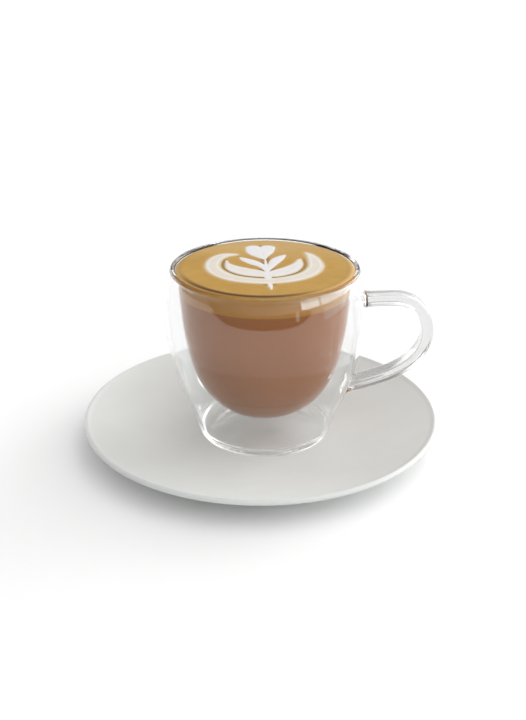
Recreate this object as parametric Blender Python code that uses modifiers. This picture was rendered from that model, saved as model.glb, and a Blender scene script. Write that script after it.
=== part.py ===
"""A cortado in a double-walled glass cup with a strap handle, standing on a white saucer.

Metres, +Z up. The origin is at the middle of the saucer's underside, and the handle points along +X.
The glass is one solid: two blown walls joined at the rim, with an air space between them that opens
through a small vent under the base. The drink is milk coffee under a layer of crema, with a milk foam
pattern let into the crema's surface.
"""

import math

import bmesh
import bpy
from mathutils import Matrix, Vector

# General
MM = 0.001
TURN_STEPS = 44
MERGE_DISTANCE = 0.00001
GAP = 0.0003

# Saucer
SAUCER_RADIUS = 0.0723
SAUCER_RIM_HEIGHT = 0.0125
SAUCER_WELL_HEIGHT = 0.0039
SAUCER_WELL_RADIUS = 0.0290
SAUCER_RISE_POWER = 1.55
SAUCER_THICKNESS = 0.0034
SAUCER_EDGE_RADIUS = 0.0011
SAUCER_SLOPE_STEPS = 8
SAUCER_RECESS_HEIGHT = 0.0011
FOOT_INNER_RADIUS = 0.0325
FOOT_OUTER_RADIUS = 0.0365
FOOT_ROUND = 0.0006

# Cup outer wall, as radius and height above the table
CUP_AXIS_X = 0.0017
CUP_BOTTOM = SAUCER_WELL_HEIGHT + GAP
CUP_RIM_HEIGHT = 0.0750
OUTER_WALL_KNOTS = (
    (0.0371, 0.0742),
    (0.0384, 0.0698),
    (0.0399, 0.0580),
    (0.0396, 0.0490),
    (0.0368, 0.0340),
    (0.0338, 0.0243),
    (0.0300, 0.0152),
    (0.0273, 0.0078),
    (0.0267, 0.0056),
    (0.0255, CUP_BOTTOM),
)
OUTER_WALL_THICKNESS = 0.0012
RIM_ROUND = 0.0009
RIM_POINTS = 5

# Cup inner wall: a rounded bowl, measured on the side that faces the air space
BOWL_TOP_RADIUS = 0.0344
BOWL_TAPER = 0.0039
BOWL_TOP = 0.0747
BOWL_BOTTOM = 0.0134
BOWL_SIDE_POWER = 2.57
BOWL_DEPTH_POWER = 3.8
BOWL_WALL_THICKNESS = 0.0015
FLARE_START = 0.0705
FLARE_END = 0.0748
FLARE_WIDTH_INSIDE = 0.0027
FLARE_WIDTH_OUTSIDE = 0.0022
BOWL_STEPS = 12
FLARE_STEPS = 4

# Cup base
BASE_FLAT_INNER_RADIUS = 0.0225
BASE_HOLLOW_RADIUS = 0.0190
BASE_HOLLOW_HEIGHT = 0.0006
BASE_THICKNESS = 0.0023
VENT_RADIUS = 0.0008
CAVITY_CORNER = 0.0013
CAVITY_CORNER_REACH = 2.5 * CAVITY_CORNER
CAVITY_CORNER_RISE = 0.4 * CAVITY_CORNER
CAVITY_TOP = 0.0735

# Handle: a strap bent in the plane through the cup's axis, as distance from the axis and height
HANDLE_ROUTE = (
    (0.0372, 0.0611),
    (0.0460, 0.0615),
    (0.0534, 0.0616),
    (0.0588, 0.0598),
    (0.0628, 0.0556),
    (0.0648, 0.0490),
    (0.0642, 0.0428),
    (0.0602, 0.0363),
    (0.0540, 0.0314),
    (0.0450, 0.0273),
    (0.0300, 0.0231),
)
HANDLE_STATIONS = 3
STRAP_THICKNESS = 0.0045
STRAP_WIDTH = 0.0078
STRAP_CORNER = 0.0014

# Drink
DRINK_LEVEL = 0.0747
CREMA_DEPTH = 0.0089
CREMA_SHOULDER_DROP = 0.0009
CREMA_SHOULDER_WIDTH = 0.0021
CREMA_SHOULDER_STEPS = 3
ART_DEPTH = 0.0009

# Milk pattern: strokes as (x, y, half width) in millimetres from the cup's axis, seen from above
ART_STROKES = {
    "heart_left": (
        (-0.1, 8.4, 0.4), (-2.4, 12.9, 2.0), (-4.1, 17.9, 3.4), (-4.8, 23.3, 3.2),
    ),
    "heart_right": (
        (0.1, 8.4, 0.4), (0.2, 12.9, 1.4), (0.6, 17.9, 3.0), (1.1, 23.3, 3.3),
    ),
    "upper_left": (
        (0.6, -5.1, 0.8), (-1.4, 0.6, 1.7), (-4.6, 4.7, 2.4), (-8.0, 8.4, 1.8), (-9.7, 10.8, 0.6),
    ),
    "upper_right": (
        (1.1, -5.1, 0.8), (2.8, 1.8, 1.8), (4.2, 6.6, 2.4), (6.1, 10.6, 2.0), (7.9, 13.8, 0.7),
    ),
    "lower_left": (
        (1.1, -10.8, 1.8), (-3.2, -8.2, 3.8), (-7.8, -5.9, 4.1), (-12.1, -2.2, 3.2),
        (-14.6, 2.8, 1.3), (-15.2, 7.4, 0.5),
    ),
    "lower_right": (
        (1.5, -10.8, 1.8), (4.9, -7.9, 3.8), (9.4, -4.0, 3.8), (12.7, 2.0, 2.5), (13.8, 8.6, 0.9),
    ),
    "crescent": (
        (-11.8, 14.5, 1.6), (-16.6, 13.2, 2.9), (-19.9, 7.4, 3.3), (-20.3, -1.4, 3.5),
        (-17.0, -8.8, 3.6), (-10.5, -14.5, 3.6), (0.4, -17.0, 3.4), (10.4, -14.2, 3.6),
        (16.8, -8.5, 3.7), (19.9, -0.6, 3.6), (19.6, 7.4, 3.1), (18.3, 13.4, 2.2),
        (16.5, 17.0, 1.1),
    ),
    "stem": (
        (0.1, 9.4, 0.4), (0.5, -0.1, 0.9), (0.9, -7.6, 1.3), (1.2, -13.1, 1.6), (1.8, -19.6, 1.2),
        (2.4, -25.8, 0.5),
    ),
}
ART_STATIONS = 3
ART_END_POINTS = 4


def clear_scene():
    """Removes whatever the file opened with."""
    for item in list(bpy.data.objects):
        bpy.data.objects.remove(item, do_unlink=True)


def make_collection(name):
    """Adds a collection to the scene."""
    collection = bpy.data.collections.new(name)
    bpy.context.scene.collection.children.link(collection)
    return collection


def make_material(name, colour, roughness, transmission=0.0):
    """A Principled material in the piece's own colour."""
    material = bpy.data.materials.new(name)
    material.use_nodes = True
    shader = material.node_tree.nodes["Principled BSDF"]
    shader.inputs["Base Color"].default_value = (*colour, 1.0)
    shader.inputs["Roughness"].default_value = roughness
    shader.inputs["Metallic"].default_value = 0.0
    shader.inputs["Transmission Weight"].default_value = transmission
    material.diffuse_color = (*colour, 1.0)
    return material


def smooth_points(knots, stations):
    """A smooth curve through the knots, with the given number of points in each stretch."""
    points = []
    for index in range(len(knots) - 1):
        before = Vector(knots[max(index - 1, 0)])
        start = Vector(knots[index])
        end = Vector(knots[index + 1])
        after = Vector(knots[min(index + 2, len(knots) - 1)])
        for step in range(stations):
            t = step / stations
            points.append(
                0.5 * (2 * start + (end - before) * t
                       + (2 * before - 5 * start + 4 * end - after) * t ** 2
                       + (3 * start - before - 3 * end + after) * t ** 3)
            )
    points.append(Vector(knots[-1]))
    return points


def offset_points(points, distance):
    """The same profile moved to the left of its direction of travel."""
    moved = []
    for index, point in enumerate(points):
        before = points[max(index - 1, 0)]
        after = points[min(index + 1, len(points) - 1)]
        along = (after - before).normalized()
        moved.append(point + Vector((-along.y, along.x)) * distance)
    return moved


def arc_points(centre, radius, start, end, count):
    """Points on an arc between two angles in degrees, both ends included."""
    angles = [math.radians(start + (end - start) * step / (count - 1)) for step in range(count)]
    return [Vector(centre) + radius * Vector((math.cos(angle), math.sin(angle))) for angle in angles]


def turned(name, profile, material, collection, axis_x=0.0):
    """A solid turned round the vertical axis from a profile of (radius, height) points."""
    mesh = bpy.data.meshes.new(name)
    vertices = [(point[0], 0.0, point[1]) for point in profile]
    edges = [(index, index + 1) for index in range(len(vertices) - 1)]
    mesh.from_pydata(vertices, edges, [])
    piece = bpy.data.objects.new(name, mesh)
    piece.location.x = axis_x
    if material:
        piece.data.materials.append(material)
    collection.objects.link(piece)
    screw = piece.modifiers.new("turn", "SCREW")
    screw.axis = "Z"
    screw.steps = TURN_STEPS
    screw.render_steps = TURN_STEPS
    screw.use_merge_vertices = True
    screw.merge_threshold = MERGE_DISTANCE
    screw.use_smooth_shade = True
    return piece


def add_poly_spline(data, points, closed):
    """Adds a run of straight stretches through the points to a curve."""
    spline = data.splines.new("POLY")
    spline.points.add(len(points) - 1)
    for point, place in zip(spline.points, points):
        point.co = (*place, 1.0)
    spline.use_cyclic_u = closed


def curve_to_mesh(curve_object, collection):
    """Replaces a curve object by a closed mesh object in the same place."""
    bpy.context.view_layer.update()
    evaluated = curve_object.evaluated_get(bpy.context.evaluated_depsgraph_get())
    mesh = bpy.data.meshes.new_from_object(evaluated)
    name = curve_object.name
    matrix = curve_object.matrix_world.copy()
    bpy.data.objects.remove(curve_object, do_unlink=True)
    body = bmesh.new()
    body.from_mesh(mesh)
    bmesh.ops.remove_doubles(body, verts=body.verts, dist=MERGE_DISTANCE)
    bmesh.ops.recalc_face_normals(body, faces=body.faces)
    body.to_mesh(mesh)
    body.free()
    piece = bpy.data.objects.new(name, mesh)
    piece.matrix_world = matrix
    collection.objects.link(piece)
    return piece


def hide_cutter(cutter):
    """Marks an object as a tool for shaping others."""
    cutter.hide_render = True
    cutter.display_type = "WIRE"


def add_boolean(piece, operation, collection):
    """Joins or cuts a piece by everything in a collection."""
    boolean = piece.modifiers.new(operation.lower(), "BOOLEAN")
    boolean.operation = operation
    boolean.solver = "EXACT"
    boolean.operand_type = "COLLECTION"
    boolean.collection = collection


def apply_modifiers(piece):
    """Bakes a piece's modifiers into its mesh."""
    bpy.context.view_layer.update()
    evaluated = piece.evaluated_get(bpy.context.evaluated_depsgraph_get())
    mesh = bpy.data.meshes.new_from_object(evaluated)
    piece.modifiers.clear()
    piece.data = mesh


def flare(height, width):
    """How far a side of the inner wall that opens out by a width has opened at a height."""
    share = (height - FLARE_START) / (FLARE_END - FLARE_START)
    share = min(max(share, 0.0), 1.0)
    return width * share ** 2 * (3 - 2 * share)


def point_at(profile, height):
    """Where a profile that runs downwards crosses a height."""
    for upper, lower in zip(profile, profile[1:]):
        if upper.y >= height >= lower.y:
            return upper.lerp(lower, (upper.y - height) / (upper.y - lower.y))
    raise ValueError("the profile doesn't reach this height")


def bowl_wall(inset, top):
    """The bowl from a height down to its lowest point, set in from the side facing the air space."""
    curve = []
    for step in range(BOWL_STEPS + 1):
        angle = 0.5 * math.pi * step / BOWL_STEPS
        share = math.sin(angle) ** (2 / BOWL_DEPTH_POWER)
        radius = (BOWL_TOP_RADIUS - BOWL_TAPER * share) * abs(math.cos(angle)) ** (2 / BOWL_SIDE_POWER)
        curve.append(Vector((radius, BOWL_TOP - (BOWL_TOP - BOWL_BOTTOM) * share)))
    curve = offset_points(curve, -inset)
    curve[-1] = Vector((0.0, BOWL_BOTTOM + inset))
    start = point_at(curve, FLARE_START)
    lip = [Vector((start.x, top + (FLARE_START - top) * step / FLARE_STEPS)) for step in range(FLARE_STEPS)]
    side = lip + [start] + [point for point in curve if point.y < FLARE_START - MM]
    width = FLARE_WIDTH_INSIDE if inset > 0 else FLARE_WIDTH_OUTSIDE
    return [Vector((point.x + flare(point.y, width), point.y)) for point in side]


def outer_wall(inset, stations):
    """The outer wall from the rim down to the flat of the base, set in by a distance."""
    return offset_points(smooth_points(OUTER_WALL_KNOTS, stations), -inset)


def make_saucer(material, collection):
    """A shallow coupe saucer with a rounded edge and a foot ring."""
    def top_height(radius):
        share = max(0.0, (radius - SAUCER_WELL_RADIUS) / (SAUCER_RADIUS - SAUCER_WELL_RADIUS))
        rise = SAUCER_RIM_HEIGHT - SAUCER_WELL_HEIGHT
        return SAUCER_WELL_HEIGHT + rise * share ** SAUCER_RISE_POWER

    edge_centre_radius = SAUCER_RADIUS - SAUCER_EDGE_RADIUS
    edge_centre_height = SAUCER_RIM_HEIGHT - SAUCER_EDGE_RADIUS
    slope = edge_centre_radius - SAUCER_WELL_RADIUS
    slope_radii = [
        SAUCER_WELL_RADIUS + slope * step / SAUCER_SLOPE_STEPS for step in range(SAUCER_SLOPE_STEPS)
    ]
    top = [Vector((0.0, SAUCER_WELL_HEIGHT))]
    top += [Vector((radius, top_height(radius))) for radius in slope_radii]
    edge = arc_points((edge_centre_radius, edge_centre_height), SAUCER_EDGE_RADIUS, 100, -70, 6)
    under = []
    for radius in reversed([radius for radius in slope_radii if radius > FOOT_OUTER_RADIUS + 2 * MM]):
        taper = (edge_centre_radius - radius) / (edge_centre_radius - FOOT_OUTER_RADIUS)
        thickness = 2 * SAUCER_EDGE_RADIUS + (SAUCER_THICKNESS - 2 * SAUCER_EDGE_RADIUS) * min(taper, 1.0)
        under.append(Vector((radius, top_height(radius) - thickness)))
    foot = [
        Vector((FOOT_OUTER_RADIUS + FOOT_ROUND, top_height(FOOT_OUTER_RADIUS) - SAUCER_THICKNESS)),
        Vector((FOOT_OUTER_RADIUS, FOOT_ROUND / 2)),
        Vector((FOOT_OUTER_RADIUS - FOOT_ROUND / 2, 0.0)),
        Vector((FOOT_INNER_RADIUS + FOOT_ROUND / 2, 0.0)),
        Vector((FOOT_INNER_RADIUS, FOOT_ROUND / 2)),
        Vector((FOOT_INNER_RADIUS - FOOT_ROUND * 2, SAUCER_RECESS_HEIGHT)),
        Vector((0.0, SAUCER_RECESS_HEIGHT)),
    ]
    return turned("saucer", top + edge + under + foot, material, collection)


def cup_profile():
    """The glass section from the bottom of the drink's bowl round both walls to the air space's side."""
    rim_base = CUP_RIM_HEIGHT - RIM_ROUND
    inner_side = bowl_wall(BOWL_WALL_THICKNESS, rim_base)
    inner_side.reverse()
    outer_side = outer_wall(0.0, 2)
    rim_centre = Vector(((inner_side[-1].x + outer_side[0].x) / 2, rim_base))
    rim_half = (outer_side[0].x - inner_side[-1].x) / 2
    rim = []
    for step in range(1, RIM_POINTS + 1):
        angle = math.pi * step / (RIM_POINTS + 1)
        rim.append(rim_centre + Vector((-rim_half * math.cos(angle), RIM_ROUND * math.sin(angle))))
    hollow_height = CUP_BOTTOM + BASE_HOLLOW_HEIGHT
    floor_height = CUP_BOTTOM + BASE_THICKNESS
    underside = [
        Vector((BASE_FLAT_INNER_RADIUS, CUP_BOTTOM)),
        Vector((BASE_HOLLOW_RADIUS, hollow_height)),
        Vector((VENT_RADIUS, hollow_height)),
    ]
    lowest = floor_height + CAVITY_CORNER
    air_wall = outer_wall(OUTER_WALL_THICKNESS, 1)
    air_outer = [point_at(air_wall, CAVITY_TOP)]
    air_outer += [point for point in air_wall if lowest < point.y < CAVITY_TOP - MM]
    air_outer.reverse()
    floor = [
        Vector((VENT_RADIUS, floor_height)),
        Vector((air_outer[0].x - CAVITY_CORNER_REACH, floor_height)),
        Vector((air_outer[0].x - CAVITY_CORNER, floor_height + CAVITY_CORNER_RISE)),
    ]
    air_inner = bowl_wall(0.0, CAVITY_TOP)
    return inner_side + rim + outer_side + underside + floor + air_outer + air_inner


def make_strap_section(collection):
    """The strap's section: a rectangle with round corners, as a curve to sweep along the route."""
    data = bpy.data.curves.new("strap_section", "CURVE")
    data.dimensions = "2D"
    half_width = STRAP_WIDTH / 2 - STRAP_CORNER
    half_thickness = STRAP_THICKNESS / 2 - STRAP_CORNER
    outline = []
    for corner, (side, face) in enumerate(((1, 1), (-1, 1), (-1, -1), (1, -1))):
        centre = (side * half_width, face * half_thickness)
        outline += arc_points(centre, STRAP_CORNER, corner * 90, corner * 90 + 90, 3)
    add_poly_spline(data, [(point.x, point.y, 0.0) for point in outline], closed=True)
    section = bpy.data.objects.new("strap_section", data)
    collection.objects.link(section)
    return section


def make_handle(collection):
    """The strap handle, its ends cut to finish in the middle of the outer wall's thickness."""
    section = make_strap_section(collection)
    data = bpy.data.curves.new("handle", "CURVE")
    data.dimensions = "3D"
    data.bevel_mode = "OBJECT"
    data.bevel_object = section
    data.use_fill_caps = True
    route_points = [(point.x, 0.0, point.y) for point in smooth_points(HANDLE_ROUTE, HANDLE_STATIONS)]
    add_poly_spline(data, route_points, closed=False)
    route = bpy.data.objects.new("handle", data)
    route.location.x = CUP_AXIS_X
    collection.objects.link(route)
    handle = curve_to_mesh(route, collection)
    bpy.data.objects.remove(section, do_unlink=True)

    middle = outer_wall(OUTER_WALL_THICKNESS / 2, 2)
    profile = [Vector((0.0, middle[0].y))] + middle + [Vector((0.0, middle[-1].y))]
    trim = turned("handle_trim", profile, None, collection, CUP_AXIS_X)
    cut = handle.modifiers.new("trim", "BOOLEAN")
    cut.operation = "DIFFERENCE"
    cut.solver = "EXACT"
    cut.object = trim
    apply_modifiers(handle)
    bpy.data.objects.remove(trim, do_unlink=True)
    hide_cutter(handle)


def make_cup(material, collection, handle_collection):
    """The double-walled glass with its handle, as one solid."""
    cup = turned("glass_cup", cup_profile(), material, collection, CUP_AXIS_X)
    make_handle(handle_collection)
    add_boolean(cup, "UNION", handle_collection)
    return cup


def half_turn(centre, start):
    """The points of a stroke's round end, clockwise from a point beside its middle line."""
    arm = start - centre
    turns = [-math.pi * step / ART_END_POINTS for step in range(1, ART_END_POINTS)]
    return [centre + Matrix.Rotation(turn, 2) @ arm for turn in turns]


def stroke_outline(knots, grow):
    """The outline of a poured stroke: its middle line widened on both sides, with round ends."""
    stations = smooth_points(knots, ART_STATIONS)
    middles = [Vector((station.x, station.y)) * MM for station in stations]
    left = []
    right = []
    for index, middle in enumerate(middles):
        before = middles[max(index - 1, 0)]
        after = middles[min(index + 1, len(middles) - 1)]
        along = (after - before).normalized()
        side = Vector((-along.y, along.x)) * (stations[index].z * MM + grow)
        left.append(middle + side)
        right.append(middle - side)
    return left + half_turn(middles[-1], left[-1]) + right[::-1] + half_turn(middles[0], right[0])


def make_stroke(name, knots, grow, bottom, top, collection):
    """One stroke of milk foam as an upright slab between two heights."""
    data = bpy.data.curves.new(name, "CURVE")
    data.dimensions = "2D"
    data.fill_mode = "BOTH"
    data.extrude = (top - bottom) / 2
    add_poly_spline(data, [(point.x, point.y, 0.0) for point in stroke_outline(knots, grow)], closed=True)
    stroke = bpy.data.objects.new(name, data)
    stroke.location = (CUP_AXIS_X, 0.0, (top + bottom) / 2)
    collection.objects.link(stroke)
    return curve_to_mesh(stroke, collection)


def make_latte_art(material, collection, stroke_collection):
    """The milk foam pattern: its strokes joined into one flat solid."""
    bottom = DRINK_LEVEL - ART_DEPTH
    names = list(ART_STROKES)
    for name in names[1:]:
        make_stroke(name, ART_STROKES[name], 0.0, bottom, DRINK_LEVEL, stroke_collection)
    art = make_stroke("latte_art", ART_STROKES[names[0]], 0.0, bottom, DRINK_LEVEL, collection)
    add_boolean(art, "UNION", stroke_collection)
    apply_modifiers(art)
    for stroke in list(stroke_collection.objects):
        bpy.data.objects.remove(stroke, do_unlink=True)
    art.data.materials.clear()
    art.data.materials.append(material)
    return art


def make_crema(material, collection, pocket_collection):
    """The layer of crema, round-shouldered at the glass, with a pocket for the milk pattern."""
    bottom = DRINK_LEVEL - CREMA_DEPTH
    contact = DRINK_LEVEL - CREMA_SHOULDER_DROP
    wall = bowl_wall(BOWL_WALL_THICKNESS + GAP, DRINK_LEVEL)
    side = [point_at(wall, contact)]
    side += [point for point in wall if bottom + MM < point.y < contact - MM / 2]
    side.append(point_at(wall, bottom))
    shoulder = []
    for step in range(CREMA_SHOULDER_STEPS):
        share = step / CREMA_SHOULDER_STEPS
        radius = side[0].x - CREMA_SHOULDER_WIDTH * (1 - share)
        shoulder.append(Vector((radius, DRINK_LEVEL - CREMA_SHOULDER_DROP * share ** 2)))
    profile = [Vector((0.0, DRINK_LEVEL))] + shoulder + side + [Vector((0.0, bottom))]
    crema = turned("crema", profile, material, collection, CUP_AXIS_X)
    pocket_bottom = DRINK_LEVEL - ART_DEPTH - GAP
    pocket_top = DRINK_LEVEL + ART_DEPTH
    for name, knots in ART_STROKES.items():
        pocket = make_stroke("pocket_" + name, knots, GAP, pocket_bottom, pocket_top, pocket_collection)
        hide_cutter(pocket)
    add_boolean(crema, "DIFFERENCE", pocket_collection)
    return crema


def make_coffee(material, collection):
    """The milk coffee that fills the bowl below the crema."""
    top = DRINK_LEVEL - CREMA_DEPTH - GAP
    wall = bowl_wall(BOWL_WALL_THICKNESS + GAP, DRINK_LEVEL)
    side = [point_at(wall, top)] + [point for point in wall if point.y < top - MM]
    return turned("coffee", [Vector((0.0, top))] + side, material, collection, CUP_AXIS_X)


def build():
    """Builds the whole drink."""
    clear_scene()
    parts = make_collection("cortado")
    handle_tools = make_collection("handle_cutters")
    art_tools = make_collection("art_strokes")
    pocket_tools = make_collection("pocket_cutters")
    porcelain = make_material("glazed_porcelain", (0.80, 0.80, 0.78), 0.35)
    glass = make_material("clear_glass", (0.95, 0.96, 0.96), 0.02, transmission=1.0)
    coffee = make_material("milk_coffee", (0.27, 0.14, 0.08), 0.3)
    crema = make_material("crema", (0.55, 0.33, 0.12), 0.45)
    foam = make_material("milk_foam", (0.80, 0.77, 0.72), 0.5)
    make_saucer(porcelain, parts)
    make_cup(glass, parts, handle_tools)
    make_coffee(coffee, parts)
    make_crema(crema, parts, pocket_tools)
    make_latte_art(foam, parts, art_tools)


build()
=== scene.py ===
"""The looks of a cortado in a double-walled glass cup, standing on a white saucer.

Metres, +Z up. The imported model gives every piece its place, and the pieces here are the same forms with a
fine surface: turned glass with a strap handle, milk coffee, crema, a poured milk pattern and glazed
porcelain, on a white table in soft light.
"""

import logging
import math
from dataclasses import dataclass, field
from enum import Enum

import bmesh
import bpy
import numpy as np
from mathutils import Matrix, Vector


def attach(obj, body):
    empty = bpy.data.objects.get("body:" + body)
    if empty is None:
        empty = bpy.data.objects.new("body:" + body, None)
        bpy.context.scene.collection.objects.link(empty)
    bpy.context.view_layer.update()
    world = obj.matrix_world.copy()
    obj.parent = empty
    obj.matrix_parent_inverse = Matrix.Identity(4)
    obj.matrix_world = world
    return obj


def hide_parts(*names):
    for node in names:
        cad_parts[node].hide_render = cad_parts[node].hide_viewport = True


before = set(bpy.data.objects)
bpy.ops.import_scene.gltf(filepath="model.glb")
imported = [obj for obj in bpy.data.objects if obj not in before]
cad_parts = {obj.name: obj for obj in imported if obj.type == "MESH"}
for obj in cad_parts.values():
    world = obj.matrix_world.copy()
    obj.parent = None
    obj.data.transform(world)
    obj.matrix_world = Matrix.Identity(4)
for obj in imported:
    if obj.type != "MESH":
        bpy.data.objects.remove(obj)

log = logging.getLogger("cortado")

MM = 0.001
MERGE_DISTANCE = 0.00001
CLOSE = 0.0001
SHARP_ANGLE = 50.0
STROKE_STATIONS = 6
BODY = "root"
Colour = tuple[float, float, float]
Piece = bpy.types.Object
Socket = bpy.types.NodeSocket


# Modelling steps that the sub-assemblies share

def pick_only(piece: Piece) -> None:
    """Leaves one object selected and active.

    Args:
        piece: The object to work on.
    """
    bpy.ops.object.select_all(action="DESELECT")
    piece.select_set(True)
    bpy.context.view_layer.objects.active = piece


def keep_as(
    piece: Piece, node: str, material: bpy.types.Material,
    sharp_angle: float = SHARP_ANGLE
) -> None:
    """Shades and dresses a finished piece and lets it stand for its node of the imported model.

    Args:
        piece: The finished mesh object.
        node: The node that it replaces, whose name it takes.
        material: The finish.
        sharp_angle: Faces that meet at more than this, in degrees, keep a sharp edge.
    """
    pick_only(piece)
    bpy.ops.object.shade_smooth_by_angle(angle=math.radians(sharp_angle))
    piece.name = node + "_surface"
    piece.data.name = piece.name
    piece.data.materials.clear()
    piece.data.materials.append(material)
    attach(piece, BODY)
    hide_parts(node)
    log.info("%s: %d faces", piece.name, len(piece.data.polygons))


def draw_chain(name: str, points: list[Vector]) -> Piece:
    """Draws a run of edges, vertex by vertex, and stays in edit mode.

    Args:
        name: The new object's name.
        points: The places that the run passes through.

    Returns:
        The new object.
    """
    bpy.ops.object.select_all(action="DESELECT")
    bpy.ops.mesh.primitive_plane_add(size=MM)
    piece = bpy.context.active_object
    piece.name = name
    bpy.ops.object.mode_set(mode="EDIT")
    bpy.ops.mesh.select_all(action="SELECT")
    bpy.ops.mesh.merge(type="CENTER")
    bpy.ops.transform.translate(value=points[0])
    for before, after in zip(points, points[1:]):
        bpy.ops.mesh.extrude_region_move(TRANSFORM_OT_translate={"value": after - before})
    return piece


def turn(name: str, profile: list[Vector], axis_x: float, steps: int) -> Piece:
    """Spins a profile round an upright axis into a closed, smooth body.

    Args:
        name: The new object's name.
        profile: Points of (radius, height), with both ends on the axis.
        axis_x: Where the axis stands along X.
        steps: How many steps the full turn takes.

    Returns:
        The turned object.
    """
    piece = draw_chain(name, [Vector((axis_x + point.x, 0.0, point.y)) for point in profile])
    bpy.ops.mesh.select_all(action="SELECT")
    bpy.ops.mesh.spin(steps=steps, angle=math.tau, center=(axis_x, 0.0, 0.0), axis=(0.0, 0.0, 1.0))
    bpy.ops.mesh.select_all(action="SELECT")
    bpy.ops.mesh.remove_doubles(threshold=MERGE_DISTANCE)
    bpy.ops.mesh.normals_make_consistent(inside=False)
    bpy.ops.object.mode_set(mode="OBJECT")
    bpy.ops.object.shade_smooth()
    return piece


def shape_with(piece: Piece, tool: Piece, operation: str) -> None:
    """Cuts or joins a piece by another, which is used up.

    Args:
        piece: The piece that is kept.
        tool: The piece that cuts it or joins it.
        operation: UNION or DIFFERENCE.
    """
    pick_only(piece)
    step = piece.modifiers.new(operation.lower(), "BOOLEAN")
    step.operation = operation
    step.solver = "EXACT"
    step.object = tool
    bpy.ops.object.modifier_apply(modifier=step.name)
    bpy.data.objects.remove(tool, do_unlink=True)


def through_knots(knots: tuple, stations: int) -> list[Vector]:
    """A smooth curve through knots.

    Args:
        knots: The points that it passes through, of two or three numbers each.
        stations: How many points each stretch takes.

    Returns:
        The points along the curve, both ends included.
    """
    points = []
    for index in range(len(knots) - 1):
        before = Vector(knots[max(index - 1, 0)])
        start = Vector(knots[index])
        end = Vector(knots[index + 1])
        after = Vector(knots[min(index + 2, len(knots) - 1)])
        for step in range(stations):
            t = step / stations
            points.append(
                0.5 * (2 * start + (end - before) * t
                       + (2 * before - 5 * start + 4 * end - after) * t ** 2
                       + (3 * start - before - 3 * end + after) * t ** 3)
            )
    points.append(Vector(knots[-1]))
    return points


def eased(points: list[Vector], passes: int) -> list[Vector]:
    """Evens out the bends of a run of points, whose ends stay.

    Args:
        points: The points to even out.
        passes: How often each point moves towards its neighbours.

    Returns:
        The eased points.
    """
    for _ in range(passes):
        middle = [
            point.lerp((before + after) / 2, 0.5)
            for before, point, after in zip(points, points[1:], points[2:])
        ]
        points = [points[0]] + middle + [points[-1]]
    return points


def beside(points: list[Vector], distance: float) -> list[Vector]:
    """The same profile moved to the left of its direction of travel.

    Args:
        points: Points of (radius, height).
        distance: How far it moves.

    Returns:
        The moved points.
    """
    moved = []
    for index, point in enumerate(points):
        before = points[max(index - 1, 0)]
        after = points[min(index + 1, len(points) - 1)]
        along = (after - before).normalized()
        moved.append(point + Vector((-along.y, along.x)) * distance)
    return moved


def point_at(profile: list[Vector], height: float) -> Vector:
    """Where a profile that runs downwards crosses a height.

    Args:
        profile: Points of (radius, height), the highest first.
        height: The height to look for.

    Returns:
        The point on the profile.
    """
    for upper, lower in zip(profile, profile[1:]):
        if upper.y >= height >= lower.y:
            return upper.lerp(lower, (upper.y - height) / (upper.y - lower.y))
    raise ValueError("the profile doesn't reach this height")


def arc(centre: Vector, radius: float, start: float, end: float, count: int) -> list[Vector]:
    """Points on an arc.

    Args:
        centre: The arc's centre.
        radius: Its radius.
        start: The first point's angle in degrees.
        end: The last point's angle in degrees.
        count: How many points it has.

    Returns:
        The points, both ends included.
    """
    angles = [math.radians(start + (end - start) * step / (count - 1)) for step in range(count)]
    return [centre + radius * Vector((math.cos(angle), math.sin(angle))) for angle in angles]


def store(piece: Piece, name: str, values: np.ndarray) -> None:
    """Writes one number for each vertex as an attribute that a finish reads.

    Args:
        piece: The mesh object.
        name: The attribute's name.
        values: One number for each vertex.
    """
    attribute = piece.data.attributes.new(name, "FLOAT", "POINT")
    attribute.data.foreach_set("value", np.asarray(values, np.float32))


def places_of(piece: Piece) -> np.ndarray:
    """The piece's vertices as rows of x, y and z."""
    places = np.zeros(len(piece.data.vertices) * 3, np.float32)
    piece.data.vertices.foreach_get("co", places)
    return places.reshape(-1, 3).astype(float)


def move_to(piece: Piece, places: np.ndarray) -> None:
    """Puts the piece's vertices at rows of x, y and z."""
    piece.data.vertices.foreach_set("co", places.astype(np.float32).ravel())
    piece.data.update()


def smoothstep(share: np.ndarray) -> np.ndarray:
    """An even rise from 0 to 1 with soft ends."""
    share = np.clip(share, 0.0, 1.0)
    return share * share * (3 - 2 * share)


def direction(azimuth: float, elevation: float) -> Vector:
    """The unit vector at an azimuth from +X towards +Y and an elevation above the table, in degrees."""
    turned = math.radians(azimuth)
    raised = math.radians(elevation)
    level = math.cos(raised)
    return Vector((math.cos(turned) * level, math.sin(turned) * level, math.sin(raised)))


# Finishes

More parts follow.
